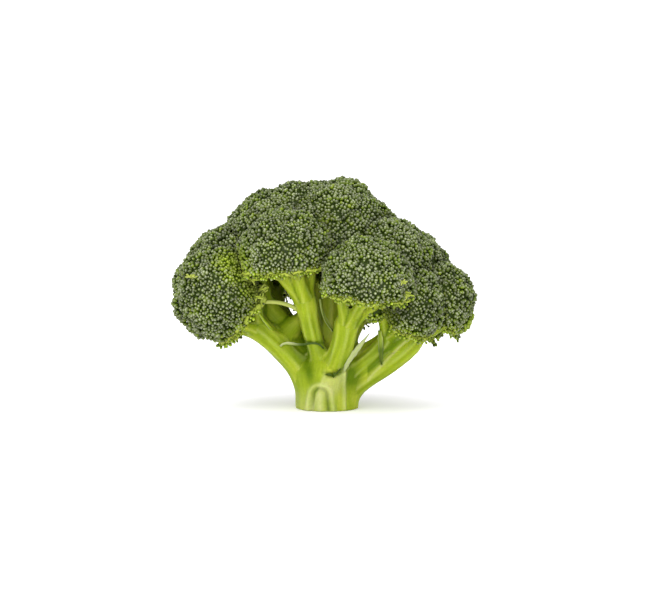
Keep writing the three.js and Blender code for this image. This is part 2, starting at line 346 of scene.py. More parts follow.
def srgb(red, green, blue):
    """A linear colour from 0 to 255 screen values."""
    screen = np.array([red, green, blue]) / 255
    linear = np.where(screen <= 0.04045, screen / 12.92, ((screen + 0.055) / 1.055) ** 2.4)
    return (*(linear / LIGHT).tolist(), 1.0)


class Nodes:
    """A material's node tree, with short calls for the nodes used here."""

    def __init__(self, name):
        self.material = bpy.data.materials.new(name)
        self.material.use_nodes = True
        self.tree = self.material.node_tree
        self.shader = self.tree.nodes["Principled BSDF"]

    def add(self, kind, inputs=(), **settings):
        """A node with values or links at its sockets."""
        node = self.tree.nodes.new("ShaderNode" + kind)
        for key, value in settings.items():
            setattr(node, key, value)
        for key, value in dict(inputs).items():
            self.set(node.inputs[key], value)
        return node

    def set(self, socket, value):
        if isinstance(value, bpy.types.NodeSocket):
            self.tree.links.new(value, socket)
        else:
            socket.default_value = value

    def painted(self, name):
        """The three channels of a painted colour attribute."""
        colour = self.add("Attribute", attribute_name=name).outputs["Color"]
        return self.add("SeparateColor", {"Color": colour}).outputs

    def ramp(self, factor, *stops):
        """A colour ramp, each stop a position and three screen values."""
        node = self.add("ValToRGB", {"Fac": factor})
        elements = node.color_ramp.elements
        while len(elements) < len(stops):
            elements.new(0.5)
        for element, (position, *screen) in zip(elements, stops):
            element.position = position
            element.color = srgb(*screen)
        return node.outputs["Color"]

    def mix(self, factor, a, b, blend="MIX"):
        node = self.add("Mix", data_type="RGBA", blend_type=blend)
        self.set(node.inputs["Factor"], factor)
        self.set(node.inputs[6], a)  # a mix node's colours are its sockets 6, 7 and 2
        self.set(node.inputs[7], b)
        return node.outputs[2]

    def span(self, value, low, high):
        """A value from 0 to 1 turned into one from low to high."""
        node = self.add("MapRange", {"Value": value, "To Min": low, "To Max": high})
        return node.outputs["Result"]

    def noise(self, scale, detail=3.0, stretch=None):
        """Noise in the object's space, or stretched along the painted grain."""
        if stretch:
            grain = self.add("Attribute", attribute_name="grain").outputs["Vector"]
            place = self.add("Mapping", {"Vector": grain, "Scale": stretch}).outputs["Vector"]
        else:
            place = self.add("TexCoord").outputs["Object"]
        node = self.add("TexNoise", {"Vector": place, "Scale": scale, "Detail": detail})
        return node.outputs["Fac"]

    def bump(self, height, distance, strength=1.0, normal=None):
        node = self.add("Bump", {"Height": height, "Distance": distance, "Strength": strength})
        if normal:
            self.set(node.inputs["Normal"], normal)
        return node.outputs["Normal"]

    def finish(self, colour, roughness, normal, **uniform):
        self.set(self.shader.inputs["Base Color"], colour)
        self.set(self.shader.inputs["Roughness"], roughness)
        self.set(self.shader.inputs["Normal"], normal)
        for key, value in uniform.items():
            self.shader.inputs[key.replace("_", " ")].default_value = value
        return self.material


def bud_material():
    """Grey-green buds with a waxy bloom and a painted highlight on their tips and painted shade at their
    bases, some of them yellow-green.
    """
    nodes = Nodes("bud")
    yellow, tip, tone_and_shade = nodes.painted("bud")
    # From painted shade at a bud's base up to its bloom and a painted highlight at its tip
    grey = nodes.ramp(tip, (0, 14, 24, 0), (0.44, 44, 62, 10), (0.8, 88, 100, 58), (1, 170, 174, 152))
    lime = nodes.ramp(tip, (0, 48, 70, 0), (0.44, 110, 138, 4), (0.8, 148, 170, 30), (1, 176, 188, 84))
    by_height = nodes.span(tip, 2.0, 0.15)
    sides = nodes.add("Math", {0: yellow, 1: by_height}, operation="MULTIPLY").outputs[0]
    colour = nodes.mix(sides, grey, lime)
    fine = nodes.noise(1800.0)
    mottle = nodes.ramp(fine, (0.3, 170, 170, 170), (0.7, 255, 255, 255))
    colour = nodes.mix(0.6, colour, mottle, "MULTIPLY")
    # Painted shade between clusters and between domes darkens the buds here, along with their own uneven
    # tone
    shade = nodes.add("HueSaturation", {"Color": colour, "Value": nodes.span(tone_and_shade, 0.5, 1.75)})
    rough = nodes.span(fine, 0.45, 0.65)
    bumps = nodes.bump(fine, 0.0002, 0.35)
    return nodes.finish(shade.outputs["Color"], rough, bumps, Specular_IOR_Level=0.2)


def flesh_material(name, scatter):
    """Waxy yellow-green skin with pale streaks that run along the branches, and the painted highlights
    and painted shade that its tones carry.

    Fine stems scatter no light, which would show as reddish specks on them.
    """
    nodes = Nodes(name)
    pale_and_highlight, deep_green_and_shade, cut = nodes.painted("tone")
    streak = nodes.noise(0.17, 3.0, (1.0, 1.0, 0.2))
    fibre = nodes.noise(2.4, 2.0, (1.0, 1.0, 0.05))
    colour = nodes.ramp(streak, (0.25, 120, 149, 0), (0.5, 160, 180, 10), (0.75, 194, 202, 62))
    colour = nodes.mix(nodes.span(fibre, 0.0, 0.2), colour, srgb(200, 212, 120))
    # Painted shade: a deep green that stands in for shade on the flesh
    colour = nodes.mix(deep_green_and_shade, colour, srgb(78, 110, 0))
    # The skin's own pale parts and painted highlights
    colour = nodes.mix(pale_and_highlight, colour, srgb(204, 208, 132))
    colour = nodes.mix(cut, colour, srgb(196, 204, 140))
    speck = nodes.noise(900.0, 2.0)
    grime = nodes.ramp(speck, (0.35, 190, 190, 170), (0.65, 255, 255, 250))
    colour = nodes.mix(0.25, colour, grime, "MULTIPLY")
    bumps = nodes.bump(fibre, 0.0004, 0.5, nodes.bump(speck, 0.0002, 0.25))
    rough = nodes.span(streak, 0.36, 0.56)
    return nodes.finish(
        colour, rough, bumps, Specular_IOR_Level=0.04, Subsurface_Weight=scatter,
        Subsurface_Scale=0.004, Subsurface_Radius=(0.5, 1.0, 0.05),
    )


def leaf_material():
    """Thin pale leaf with veins along it."""
    nodes = Nodes("leaf")
    pale_and_highlight, deep_green_and_shade, _ = nodes.painted("tone")
    veins = nodes.noise(1.0, 3.0, (1.6, 1.6, 0.15))
    colour = nodes.ramp(veins, (0.35, 112, 140, 4), (0.65, 166, 184, 50))
    colour = nodes.mix(pale_and_highlight, colour, srgb(190, 196, 150))
    # Painted shade: the dark green where a scrap in a fork lies in shade
    colour = nodes.mix(deep_green_and_shade, colour, srgb(44, 72, 4))
    rough = nodes.span(veins, 0.42, 0.6)
    return nodes.finish(colour, rough, nodes.bump(veins, 0.0003, 0.5), Specular_IOR_Level=0.04)


BUD = bud_material()
FLESH = flesh_material("flesh", 0.3)
FINE_FLESH = flesh_material("fine_flesh", 0.0)
LEAF = leaf_material()


def bud_template():
    """One bud of radius 1 with its tip towards +Z: its points and faces."""
    sides = 6
    points = []
    for row, (height, radius) in enumerate([(-0.85, 0.66), (0.05, 1.0), (0.78, 0.7)]):
        for k in range(sides):
            turn = TURN * (k + 0.5 * row) / sides
            points.append((radius * math.cos(turn), radius * math.sin(turn), height))
    tip = len(points)
    faces = [(0, k + 1, k) for k in range(1, sides - 1)]
    for low in range(0, tip, sides):
        for a, b in zip(range(low, low + sides), [*range(low + 1, low + sides), low]):
            if low + sides == tip:
                faces.append((a, b, tip))
            else:
                faces.extend([(a, b, a + sides), (b, b + sides, a + sides)])
    return np.array([*points, (0, 0, 1.15)], float), np.array(faces)


def sphere_template():
    """An evenly divided sphere: its directions and faces."""
    ball = bmesh.new()
    bmesh.ops.create_icosphere(ball, subdivisions=4, radius=1)
    directions = unit(np.array([v.co for v in ball.verts]))
    faces = np.array([[v.index for v in f.verts] for f in ball.faces])
    ball.free()
    return directions, faces


BUD_POINTS, BUD_FACES = bud_template()
SPHERE_POINTS, SPHERE_FACES = sphere_template()


def nearness_to_patches(points):
    """From 0 far from the yellow patches to 1 at their middles."""
    away = np.linalg.norm(points[:, None] - np.array(YELLOW_PATCHES), axis=2).min(axis=1)
    return ridge(away, YELLOW_PATCH_SIZE)


def bud_layout(floret):
    """Where the floret's buds are, which way they face, their size, how yellow and how bright."""
    count = count_on_sphere(floret.radius, BUD_PITCH)
    spread = random.normal(0, BUD_JITTER / floret.radius, (count, 3))
    directions = unit(spiral(count, 0.5) + spread)
    dome = floret.dome(directions)
    shared = floret.neighbours(directions)
    under = floret.underside(directions)
    wall = floret.centre + np.minimum(shared, dome)[:, None] * directions
    open_wall = (dome - shared < WALL_DEPTH) & ~floret.covered(wall)
    exposed = ((dome < shared) | open_wall) & (np.minimum(dome, shared) * RIM_WRAP < under)
    directions, dome, shared, under = (a[exposed] for a in (directions, dome, shared, under))

    clusters = count_on_sphere(floret.radius, CLUSTER_PITCH)
    jitter = random.normal(0, CLUSTER_JITTER / floret.radius, (clusters, 3))
    middles = unit(spiral(clusters, 1.3) + jitter)
    nearness = directions @ middles.T
    nearest = nearness.argmax(axis=1)
    arc = floret.radius * np.arccos(np.clip(nearness.max(axis=1), -1, 1))
    crown = 1 - (arc / (CLUSTER_HALF * CLUSTER_PITCH)) ** 2
    between = np.maximum(-crown, 0)
    lift = random.normal(0, CLUSTER_LIFT, clusters)[nearest] + random.normal(0, BUD_LIFT, len(arc))
    reach = smooth_min(smooth_min(dome, shared, WALL_ROUND), under, RIM_ROUND) - BUD_SINK
    reach = reach + CLUSTER_RISE * np.maximum(crown, -CLUSTER_DIP) + lift
    places = floret.centre + reach[:, None] * directions

    fan = (directions - middles[nearest]) * floret.radius / CLUSTER_PITCH
    tilt = random.normal(0, BUD_TILT, (len(arc), 3))
    axes = unit(directions + CLUSTER_FAN * fan + tilt)
    sizes = BUD_RADIUS * random.normal(1, 0.09, clusters)[nearest] * random.uniform(0.72, 1.2, len(arc))

    # Buds ripen to yellow-green here and there, along rims and in the patches; in valleys and between
    # clusters the yellow-green is painted shade, the tint of light shining through buds in shade
    from_plane = np.maximum(shared - dome, 0)
    rim = np.exp(-np.maximum(under - dome, 0) / RIM_FADE)
    valley = np.exp(-from_plane / VALLEY_FADE) + (dome > shared)
    patch = nearness_to_patches(places)
    warm = random.uniform(0, 1, clusters)[nearest] ** 4
    likely = 0.01 + 0.1 * warm + 0.1 * between + 0.4 * rim + 0.2 * valley + patch
    ripe = random.uniform(0, 1, len(arc)) < likely
    yellow = np.where(ripe, random.uniform(0.7, 2.2, len(arc)), random.uniform(0.05, 0.6, len(arc)))
    yellow = yellow + 0.9 * rim + 2.4 * patch + 0.2 * warm

    # Painted shade: they are darker between clusters and between domes; the rest is their own uneven
    # tone, ripe ones darker
    tone_and_shade = 0.6 * random.uniform(0, 1, len(arc)) + 0.4 * random.uniform(0, 1, clusters)[nearest]
    tone_and_shade = tone_and_shade * (1 - 0.7 * np.minimum(between, 1)) * (1 - 0.4 * ripe * (1 - patch))
    tone_and_shade = tone_and_shade * (1 - 0.9 * np.exp(-from_plane / SEAM_FADE))

    parts = [(places, axes, sizes, yellow, tone_and_shade)]
    parts.extend(clump_buds(middle, radius) for middle, radius in CLUMPS.get(floret.name, ()))
    parts.append(hanging_buds(floret))
    return [np.concatenate(values) for values in zip(*parts)]


def clump_buds(middle, radius):
    """The buds on a small lobe, where no dome holds them."""
    count = count_on_sphere(radius, BUD_PITCH)
    directions = unit(spiral(count) + random.normal(0, BUD_JITTER / radius, (count, 3)))
    places = middle + (radius - BUD_SINK + random.normal(0, 0.3, count))[:, None] * directions
    free = ~np.any([floret.holds(places) for floret in FLORETS], axis=0)
    places, axes = places[free], directions[free]
    sizes = BUD_RADIUS * random.uniform(0.75, 1.15, len(places))
    faces_down = axes[:, 2] < -0.3
    yellow = random.uniform(0.05, 0.6, len(places)) + 1.5 * faces_down
    return places, axes, sizes, yellow, random.uniform(0, 1, len(places))


def hanging_buds(floret):
    """Loose buds below the rim, on stalklets that leave it."""
    rim, outward, shows = floret.rim(RIM_STEP)
    rim, outward = rim[shows], outward[shows]
    spread = random.uniform([-1.6, 0.2], [1.4, 3.4], (len(rim), 2))  # outwards and downwards
    stalks = rim - 2.5 * outward - 0.5 * floret.axis
    drop = np.array([0, 0, -0.6]) - 0.4 * floret.axis
    hanging = rim + spread[:, :1] * outward + spread[:, 1:] * drop
    floret.hanging = hanging, stalks
    sizes = BUD_RADIUS * random.uniform(0.6, 1.0, len(hanging))
    yellow = random.uniform(0.5, 3.4, len(hanging))
    return hanging, unit(hanging - stalks), sizes, yellow, random.uniform(0, 1, len(hanging))


def core_mesh(floret):
    """The body that the buds stand on, painted dark as shade between the buds."""
    dome = floret.dome(SPHERE_POINTS)
    under = floret.underside(SPHERE_POINTS)
    shared = floret.neighbours(SPHERE_POINTS)
    wall = floret.centre + np.minimum(shared, dome)[:, None] * SPHERE_POINTS
    shared = np.where(floret.covered(wall), shared + 2 * GAP, shared - CORE_SINK)
    open_air = smooth_min(dome - CORE_SINK, under - CORE_CLEARANCE, RIM_ROUND)
    reach = np.minimum(open_air, shared)
    points = floret.centre + reach[:, None] * SPHERE_POINTS
    below = step(dome - under, 0, 4)
    patch = nearness_to_patches(points)
    # Painted shade: the body is dark like a bud's base, less so on the underside and in the patches
    yellow = 0.5 + 0.6 * below + patch
    height = 0.1 + 0.35 * below + 0.3 * patch
    return points, np.stack([yellow, height, np.full(len(points), 0.3)], axis=1)


def add_floret(floret):
    """The floret's buds, stamped from the template, on their body, which is painted dark as shade."""
    places, axes, sizes, yellow, tone_and_shade = bud_layout(floret)
    turn = random.uniform(0, TURN, len(places))
    flat = unit(np.cross(axes, [0.31, 0.52, 0.79]))
    third = np.cross(axes, flat)
    side = flat * np.cos(turn)[:, None] + third * np.sin(turn)[:, None]
    across = np.cross(axes, side)
    frames = np.stack([side, across, axes * random.uniform(0.95, 1.3, len(places))[:, None]], axis=1)
    stamped = np.einsum("pk,nkc->npc", BUD_POINTS, frames) * sizes[:, None, None]
    stamped = stamped + places[:, None]
    offsets = np.arange(len(places))[:, None, None] * len(BUD_POINTS)
    low, high = BUD_POINTS[0, 2], BUD_POINTS[-1, 2]
    tip = np.tile((BUD_POINTS[:, 2] - low) / (high - low), len(places))
    yellow, tone_and_shade = np.repeat([yellow, tone_and_shade], len(BUD_POINTS), axis=1)

    core, core_paint = core_mesh(floret)
    points = [stamped.reshape(-1, 3), core]
    paint = [np.stack([yellow, tip, tone_and_shade], axis=1), core_paint]
    faces = [(BUD_FACES[None] + offsets).reshape(-1, 3), SPHERE_FACES + len(tip)]
    used = len(tip) + len(core)
    for middle, radius in CLUMPS.get(floret.name, ()):
        points.append(middle + (radius - CORE_SINK) * SPHERE_POINTS)
        # A clump's body is painted dark as shade too
        paint.append(np.tile([0.5, 0.1, 0.3], (len(SPHERE_POINTS), 1)))
        faces.append(SPHERE_FACES + used)
        used += len(SPHERE_POINTS)
    points, paint, faces = (np.concatenate(part) for part in (points, paint, faces))
    piece = mesh_object("buds_" + floret.name, points, [faces], BUD, {"bud": paint})
    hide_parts("floret_" + floret.name)


class Tube:
    """A tapered round stem along a line of points."""

    def __init__(self, path, radii, ribs=0, rib_height=0.0):
        self.path = np.array(path, float)
        self.radii = np.array(radii, float)
        self.ribs = ribs
        self.rib_height = rib_height
        steps = np.diff(self.path, axis=0)
        self.lengths = np.linalg.norm(steps, axis=1)
        self.runs = steps / self.lengths[:, None]
        self.along = np.concatenate([[0], np.cumsum(self.lengths)])
        side = np.cross(self.runs[0], [0.0, 1.0, 0.02])
        self.sides = []
        for run in self.runs:
            side = unit(side - run * (side @ run))
            self.sides.append(side)

    def measure(self, points):
        """Distance to the surface, angle round the stem and length along it, for each point."""
        best = np.full(len(points), np.inf)
        angle = np.zeros(len(points))
        reached = np.zeros(len(points))
        for k, run in enumerate(self.runs):
            away = points - self.path[k]
            share = np.clip(away @ run / self.lengths[k], 0, 1)
            off = away - (share * self.lengths[k])[:, None] * run
            gap = np.linalg.norm(off, axis=1) - (self.radii[k] * (1 - share) + self.radii[k + 1] * share)
            nearer = gap < best
            turn = np.arctan2(off @ np.cross(run, self.sides[k]), off @ self.sides[k])
            best = np.where(nearer, gap, best)
            angle = np.where(nearer, turn, angle)
            reached = np.where(nearer, self.along[k] + share * self.lengths[k], reached)
        if self.ribs:
            growing = self.rib_height * (0.3 + 0.7 * reached / self.along[-1])
            best = best - growing * self.crest(angle, reached)
        return best, angle, reached

    def crest(self, angle, reached):
        """How near a rib's crest a place on the stem is, from about -1 to 1."""
        if not self.ribs:
            return np.zeros(len(angle))
        drift = 0.03 * reached
        fine = np.cos((2 * self.ribs - 3) * angle - 2 * drift)
        return 0.5 * np.cos(self.ribs * angle + drift) + 0.5 * fine * np.cos(2 * angle + 4 * drift)

    def mesh(self, sides):
        """Points, faces, angle and length of the stem's closed mesh."""
        turn = TURN * np.arange(sides) / sides
        runs = np.vstack([self.runs, self.runs[-1:]])
        first = np.array(self.sides + self.sides[-1:])
        second = np.cross(runs, first)
        rings = np.cos(turn)[:, None] * first[:, None] + np.sin(turn)[:, None] * second[:, None]
        rings = self.path[:, None] + rings * self.radii[:, None, None]
        count = len(self.path)
        points = np.concatenate([rings.reshape(-1, 3), self.path[:1], self.path[-1:]])
        around = np.arange(sides)
        following = (around + 1) % sides
        base = np.arange(count - 1)[:, None] * sides
        low = (base + around).ravel()
        after = (base + following).ravel()
        bands = np.concatenate([
            np.stack([low, after, low + sides], axis=1),
            np.stack([after, after + sides, low + sides], axis=1),
        ])
        start = np.stack([np.full(sides, count * sides), following, around], axis=1)
        top = (count - 1) * sides
        end = np.stack([np.full(sides, count * sides + 1), top + around, top + following], axis=1)
        angles = np.concatenate([np.tile(turn, count), [0, 0]])
        lengths = np.concatenate([np.repeat(self.along, sides), self.along[[0, -1]]])
        return points, np.concatenate([bands, start, end]), angles, lengths


def grain_of(radius, angle, along):
    """Places on an even tube, which the grain of a stem follows."""
    return np.stack([radius * np.cos(angle), radius * np.sin(angle), along], axis=1)


def bezier(controls, count):
    """Points on a Bezier curve of any degree."""
    t = np.linspace(0, 1, count)[:, None]
    degree = len(controls) - 1
    terms = [math.comb(degree, k) * t**k * (1 - t) ** (degree - k) for k in range(degree + 1)]
    return sum(term * np.array(control, float) for term, control in zip(terms, controls))


def branch_tube(floret):
    """The branch from the foot to the floret's fork."""
    out = np.array([floret.axis[0], floret.axis[1], 0])
    root = out * BRANCH_SEAT * STALK_RADIUS + [0, 0, BRANCH_START]
    rise = root + out * BRANCH_SPLAY + [0, 0, floret.climb * floret.fork[2]]
    reach = floret.fork - floret.axis * BRANCH_REACH * np.linalg.norm(floret.fork - root)
    path = bezier([root, rise, reach, floret.fork], 11)
    radii = floret.branch * np.linspace(BRANCH_TAPER, 1, len(path))
    return Tube(path, radii, floret.ribs, RIB_HEIGHT)


def twig_lines(floret):
    """Start and end of each branchlet."""
    start = floret.fork - 0.1 * floret.radius * floret.axis
    lines = []
    for n in range(floret.twigs):
        turn = (n + 0.5) / floret.twigs * 2 * math.pi
        spread = floret.side * math.cos(turn) + floret.across * math.sin(turn)
        end = floret.centre + (TWIG_DEPTH - floret.under) * floret.radius * floret.axis
        lines.append((start, end + floret.spread * floret.radius * spread))
    return lines


def twig_tubes(floret):
    """Branchlets that bow outwards a little."""
    tubes = []
    for start, end in twig_lines(floret):
        middle = (start + end) / 2
        bow = middle - (floret.fork + floret.centre) / 2
        path = bezier([start, middle + 0.25 * bow, end], 7)
        radii = TWIG_RADIUS * np.linspace(0.7, 1.4, len(path))
        tubes.append(Tube(path, radii, 5, RIB_HEIGHT * 0.6))
    return tubes


def foot_distance(points):
    """How far points are from the foot's surface."""
    radius = np.interp(points[:, 2], FOOT_HEIGHTS, FOOT_RADII)
    return np.hypot(points[:, 0], points[:, 1]) - radius


class Field:
    """Distances to a surface on a block of cells, into which shapes are blended."""

    FAR = 20.0

    def __init__(self, low, high):
        self.low = np.floor(np.array(low) / CELL).astype(int)
        self.high = np.ceil(np.array(high) / CELL).astype(int)
        self.cells = np.full(self.high - self.low, self.FAR, np.float32)

    def window(self, low, high):
        """The part of the block between two cells, as slices."""
        low = np.maximum(low, self.low) - self.low
        high = np.minimum(high, self.high) - self.low
        return tuple(slice(int(a), int(b)) for a, b in zip(low, high))

    def blend(self, low, high, distances, softness):
        """Blends in distances that are known for the block between two cells."""
        window = self.window(low, high)
        self.cells[window] = smooth_min(self.cells[window], distances, softness)

    def add(self, low, high, measure, softness):
        """Blends in a shape, measured only between two corners in millimetres."""
        low = np.maximum(np.floor(np.array(low) / CELL), self.low).astype(int)
        high = np.minimum(np.ceil(np.array(high) / CELL), self.high).astype(int)
        axes = [np.arange(a, b) * CELL for a, b in zip(low, high)]
        grid = np.stack(np.meshgrid(*axes, indexing="ij"), axis=-1)
        distances = measure(grid.reshape(-1, 3)).reshape(grid.shape[:3])
        self.blend(low, high, distances, softness)


def corners_of(tubes, margin):
    """Two corners of the box round some tubes."""
    low = np.min([tube.path.min(axis=0) - tube.radii.max() for tube in tubes], axis=0)
    high = np.max([tube.path.max(axis=0) + tube.radii.max() for tube in tubes], axis=0)
    return low - margin, high + margin


def flowing_skin(limbs):
    """Points and faces of one skin round the foot and all limbs, which flow into each other."""
    low, high = corners_of([tube for limb in limbs for tube in limb], MARGIN)
    field = Field([low[0], low[1], BLOCK_FLOOR], high)
    reach = STALK_RADIUS + MARGIN
    field.add([-reach, -reach, BLOCK_FLOOR], [reach, reach, FOOT_TOP], foot_distance, BLEND)
    webs = [floret.web for floret in FLORETS] + [CROSS_WEB]
    for limb, web in zip(limbs, webs):
        part = Field(*corners_of(limb, MARGIN))
        for tube in limb:
            part.add(*corners_of([tube], MARGIN), lambda points: tube.measure(points)[0], web)
        shared = np.maximum(part.low, field.low)
        field.blend(shared, part.high, part.cells[part.window(shared, part.high)], BLEND)
    heights = (np.arange(field.cells.shape[2]) + field.low[2]) * CELL
    cells = np.maximum(field.cells, -heights).astype(np.float32)

    volume = openvdb.FloatGrid(Field.FAR)
    volume.copyFromArray(cells)
    points, quads = volume.convertToQuads(0.0)
    return (points + field.low) * CELL, quads[:, ::-1]


def add_stalk():
    """Foot, branches and branchlets as one piece, with the grain and tones of each."""
    limbs = [[branch_tube(floret), *twig_tubes(floret)] for floret in FLORETS]
    limbs.append([Tube(bezier(path, 9), np.linspace(*radii, 9)) for path, radii in CROSS_STEMS])
    points, quads = flowing_skin(limbs)

    # Each point's grain follows its limb, and painted shade runs in the creases where limbs meet
    nearest = foot_distance(points)
    crest = np.zeros(len(points))
    crease = np.zeros(len(points))
    around = np.arctan2(points[:, 1], points[:, 0])
    grain = grain_of(STALK_RADIUS, around, points[:, 2])
    for limb in limbs:
        low, high = corners_of(limb, MARGIN)
        inside = np.flatnonzero(((points > low) & (points < high)).all(axis=1))
        measured = [tube.measure(points[inside]) for tube in limb]
        gaps = np.array([gap for gap, _, _ in measured])
        least = gaps.min(axis=0)
        before = nearest[inside]
        first, second = np.sort(gaps[1:], axis=0)[:2]
        forked = ridge(second - first, CREASE_WIDTH) * (first < gaps[0]) * (first < before)
        met = ridge(least - before, CREASE_WIDTH) * step(points[inside, 2], 40, 50)
        covered = np.where(least < before, 0, crease[inside])
        crease[inside] = np.maximum.reduce([covered, forked, met])
        for tube, (gap, angle, reached) in zip(limb, measured):
            wins = (gap < before) & (gap <= least)
            chosen = inside[wins]
            crest[chosen] = tube.crest(angle, reached)[wins]
            grain[chosen] = grain_of(tube.radii.mean(), angle[wins], reached[wins])
        nearest[inside] = np.minimum(before, least)
    points, tone = finish_stalk(points, crest, crease)
    piece = mesh_object("stalk_skin", points, [quads], FLESH, {"tone": tone}, {"grain": grain})
    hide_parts("stalk")


def arch(points, half_width):
    """Distance from an arch on the front of the foot: two uprights joined by half a circle."""
    x = (points[:, 0] - SCAR_X) / (1 + 0.025 * np.maximum(ARCH_SPRING - points[:, 2], 0))
    over = np.maximum(points[:, 2] - ARCH_SPRING, 0)
    return np.abs(np.hypot(x, over) - half_width)


def finish_stalk(points, crest, crease):
    """Raises the leaf scar and ridges on the foot, roughens the skin, and paints its tones, painted
    highlights and painted shade among them.
    """
    x, y, z = points.T
    ring = np.hypot(x, y)
    outward = points * [1, 1, 0] / np.maximum(ring, 1)[:, None]
    above = z > 0.2
    front = np.clip(-outward[:, 1] * 2 - 0.6, 0, 1) * (ring > 12) * above
    on_foot = front * step(z, 26, 22)
    outer = ridge(arch(points, ARCH_RIDGE), 1.2) * on_foot
    groove = ridge(arch(points, ARCH_GROOVE), 0.9) * on_foot
    tongue = ridge(arch(points, 0), 1.8) * on_foot
    seam = ridge(x - SEAM_X, 0.9) * on_foot
    lip_height = SHEATH_Z + 0.055 * (x - SHEATH_X) ** 2 + 0.2 * (x - SHEATH_X)
    skewed = x - SHEATH_X - SHEATH_SKEW * np.minimum(z - SHEATH_Z, 0)
    in_sheath = step(np.abs(skewed), SHEATH_WIDTH, SHEATH_WIDTH - 4) * front
    panel = in_sheath * step(z - lip_height, 0.5, -0.5) * step(z, 5, 13)
    lip = ridge(z - lip_height - 1.1, 1.3) * in_sheath
    rise = 1.3 * outer + 1.2 * tongue - 1.2 * groove + 0.9 * seam + 0.5 * panel - 1.5 * lip
    waver = np.array([noise.noise(Vector(p) * 0.11) for p in points])
    points = points + outward * (rise + 0.35 * waver * above)[:, None]

    # Pale: what is raised and a streak beside the sheath; painted light on the foot's low left, where
    # the light falls, and painted highlights on the rib crests and along the right branch's edge
    low_left = step(z, 14, 2) * step(x, 4, -8)
    streak = ridge(skewed + SHEATH_WIDTH - 2, 0.9) * front * step(z, 24, 20)
    from_edge = x - EDGE[0] - EDGE_LEAN * (z - EDGE[1])
    on_right = (x > 22) * (x < 47) * (y < 2)
    pale_and_highlight = 0.55 * outer + 0.6 * tongue + 0.6 * seam + 0.5 * panel + 0.35 * low_left + 0.4 * streak
    pale_and_highlight = pale_and_highlight + 0.3 * np.clip(crest, 0, 1) + 0.6 * ridge(from_edge, 1.0) * on_right

    # Painted shade in deep green: in grooves, creases and rib hollows, under the sheath's lip, on the
    # back, on the foot's front right, in the valley and on the side between the branches on the left, in
    # a line above the left fork's scrap and beside the right branch's pale edge; some patches are the
    # skin's own deeper green
    patches = np.array([noise.noise(Vector(p) * 0.045 + Vector((9, 4, 2))) for p in points])
    behind = step(y, 4, 18) * step(z, 14, 24)
    right = ridge(np.hypot(x - 14, 0.6 * (z - 18)), 5) * (y < 0)
    valley = ridge(x + 13 - 0.22 * (36 - z), 3.5) * step(z, 12, 20) * step(z, 40, 36) * (y < 0)
    shelf = ridge(z - SHELF_Z + 0.06 * x, 0.8) * (np.abs(x + 10.5) < 9) * (y < 0)
    facet = ridge(np.hypot(x - FACET[0], z - FACET[1]), FACET_SIZE) * (np.abs(y) < 11)
    deep_green_and_shade = 0.9 * groove + 0.9 * lip + 0.3 * behind + 0.9 * right + 0.8 * valley
    deep_green_and_shade = deep_green_and_shade + 0.8 * np.clip(patches - 0.05, 0, 1) + 0.7 * ridge(from_edge + 4.5, 3) * on_right
    deep_green_and_shade = deep_green_and_shade + 0.6 * crease + 0.3 * np.clip(-crest, 0, 1) + shelf + 0.5 * facet

    # The cut end, with a ring under its bark
    cut = (z < 0.25).astype(float)
    above_cut = 1 - cut
    bark = ridge(ring / STALK_RADIUS - 0.78, 0.09)
    pale_and_highlight = np.clip(pale_and_highlight, 0, 1) * above_cut
    deep_green_and_shade = np.clip(deep_green_and_shade, 0, 0.85) * above_cut + 0.35 * cut * bark
    return points, np.stack([pale_and_highlight, deep_green_and_shade, 0.8 * cut], axis=1)


class Stems:
    """Fine stems gathered into one mesh."""

    def __init__(self):
        self.parts = []
        self.used = 0

    def add(self, path, radius, sides, pale_and_highlight, deep_green_and_shade=0.0, taper=(1.3, 0.85)):
        """A stem whose radius is tapered from its root to its tip."""
        tube = Tube(path, radius * np.linspace(*taper, len(path)))
        points, faces, angles, lengths = tube.mesh(sides)
        grain = grain_of(tube.radii.mean(), angles, lengths + random.uniform(0, 90))
        tone = np.tile([pale_and_highlight, deep_green_and_shade, 0.0], (len(points), 1))
        self.parts.append((points, faces + self.used, tone, grain))
        self.used += len(points)

    def finish(self, name):
        """The piece that holds all the stems."""
        points, faces, tone, grain = (np.concatenate(part) for part in zip(*self.parts))
        mesh_object(name, points, [faces], FINE_FLESH, {"tone": tone}, {"grain": grain})


def runs(flags):
    """Index lists of the unbroken stretches of true flags round a ring."""
    order = np.roll(np.arange(len(flags)), -int(np.argmin(flags)))
    kept = order[flags[order]]
    breaks = np.flatnonzero(np.diff(kept) % len(flags) != 1) + 1
    return [run for run in np.split(kept, breaks) if len(run) > 2]


